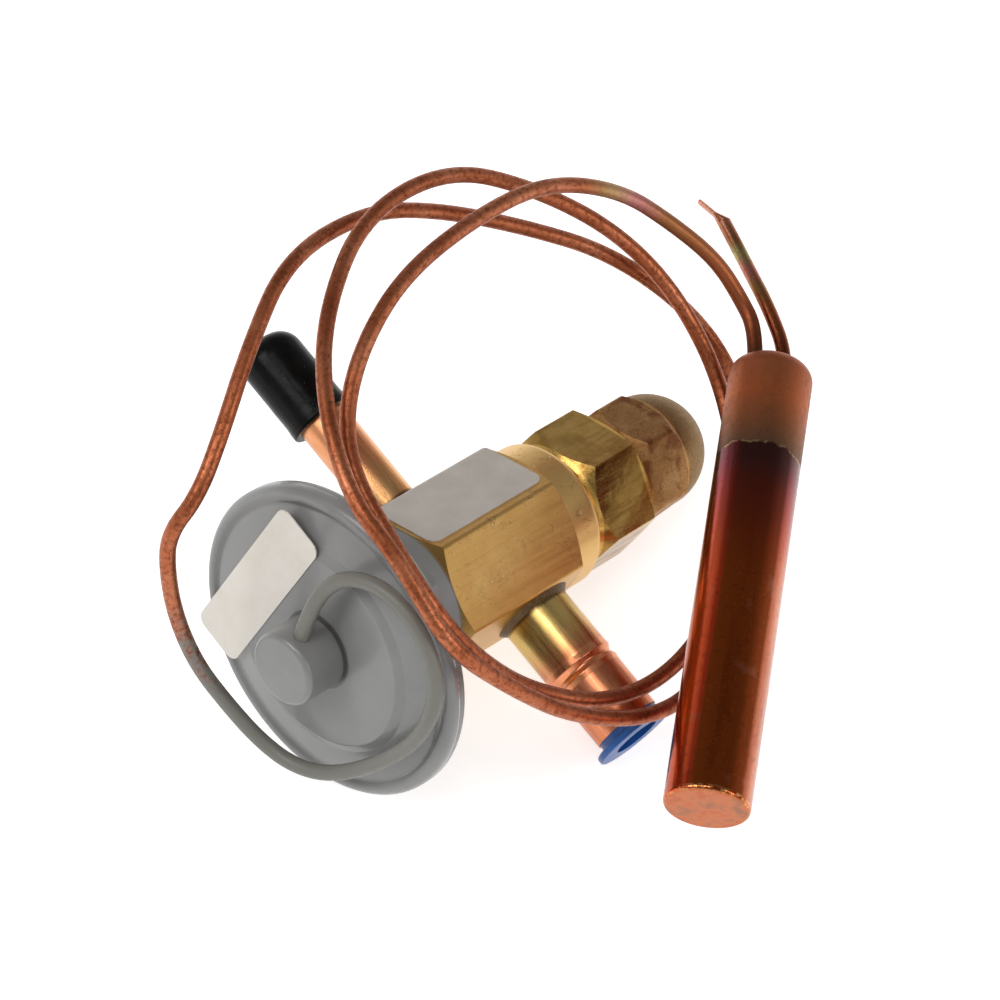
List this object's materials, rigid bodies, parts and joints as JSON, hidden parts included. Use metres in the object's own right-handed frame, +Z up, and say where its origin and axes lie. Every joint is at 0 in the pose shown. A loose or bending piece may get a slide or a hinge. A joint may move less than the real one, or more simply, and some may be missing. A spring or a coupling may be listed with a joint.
{
  "type": "refrigerant expansion valve",
  "caption": "In-line refrigerant expansion valve with a hexagon brass body, a round power element, a coiled copper capillary, a sensing bulb and a domed seal cap",
  "frame": {"origin": "on the floor, below the centre of the valve's box measured without its capillary and bulb", "axes": "+Z up from the floor on which the valve lies, +X from the power element to the seal cap, -Y the way the outlet tube points"},
  "size_m": [0.1142, 0.1057, 0.0691],
  "materials": {
    "body_brass": "satin drawn bar with fine lengthwise scratches",
    "housing_brass": "semi-bright turned bar, lightly stained",
    "cap_brass": "matt forged, with a bright turned mouth",
    "inner_brass": "clean machined",
    "copper": "drawn copper, lightly tarnished",
    "bright_copper": "bright annealed copper",
    "dark_copper": "copper tarnished by heat, dark red-brown",
    "braze": "dull braze metal with flux stain",
    "case_paint": "semi-gloss grey paint",
    "steel": "clean steel",
    "spring_steel": "drawn wire",
    "packing": "soft white packing",
    "plug_blue": "semi-gloss moulded blue plastic",
    "vinyl_black": "glossy dipped black vinyl",
    "label_cream": "bare matt label",
    "label_silver": "bare satin silver label"
  },
  "bodies": {
    "valve": {"valve_body": "body_brass", "upper_case": "case_paint", "lower_case": "case_paint", "capillary_boss": "case_paint", "diaphragm": "steel", "seat_insert": "steel", "superheat_spring": "spring_steel", "stem_packing": "packing", "packing_follower": "inner_brass", "stem_housing": "housing_brass", "housing_gasket": "bright_copper", "outlet_tube": "copper", "inlet_tube": "copper", "outlet_braze_ring": "braze", "inlet_braze_ring": "braze", "inlet_strainer": "steel", "power_label": "label_cream", "body_label": "label_silver", "capillary_tube": "copper", "sensing_bulb": "dark_copper", "fill_tube": "copper", "capillary_entry_braze": "braze", "fill_entry_braze": "braze"},
    "pin_group": {"valve_pin": "steel", "pin_carrier": "inner_brass", "push_rods": "steel", "buffer_plate": "inner_brass"},
    "stem": {"adjusting_stem": "inner_brass"},
    "guide": {"spring_guide": "inner_brass"},
    "cap_washer": {"cap_washer": "bright_copper"},
    "cap": {"seal_cap": "cap_brass"},
    "plug": {"outlet_plug": "plug_blue"},
    "dust_cap": {"inlet_cap": "vinyl_black"}
  },
  "joints": [
    {"name": "pin_travel", "type": "slide", "parent": "valve", "child": "pin_group", "axis": [0.9762, 0, -0.217], "range_m": [0, 0.0009], "stiffness_N_per_m": 2000, "deforming": ["superheat_spring"]},
    {"name": "stem_turn", "type": "hinge", "parent": "valve", "child": "stem", "pos_m": [0.02151, -0.00355, 0.01236], "axis": [-0.9762, 0, 0.217], "range_deg": [-720, 720]},
    {"name": "guide_travel", "type": "slide", "parent": "valve", "child": "guide", "axis": [-0.9762, 0, 0.217], "range_m": [-0.0015, 0.0015], "deforming": ["superheat_spring"]},
    {"name": "cap_travel", "type": "slide", "parent": "valve", "child": "cap_washer", "axis": [0.9762, 0, -0.217], "range_m": [0, 0.006]},
    {"name": "cap_turn", "type": "hinge", "parent": "cap_washer", "child": "cap", "pos_m": [0.02592, -0.00355, 0.01138], "axis": [0.9762, 0, -0.217], "range_deg": [0, 2160]},
    {"name": "plug_pull", "type": "slide", "parent": "valve", "child": "plug", "axis": [-0.0668, -0.9515, -0.3004], "range_m": [0, 0.02]},
    {"name": "dust_cap_pull", "type": "slide", "parent": "valve", "child": "dust_cap", "axis": [0.0668, 0.9515, 0.3004], "range_m": [0, 0.03]}
  ],
  "couplings": [
    {"joint": "stem_turn", "follows": "guide_travel", "rad_per_m": 8377.6},
    {"joint": "cap_travel", "follows": "cap_turn", "m_per_rad": 0.00015915}
  ]
}
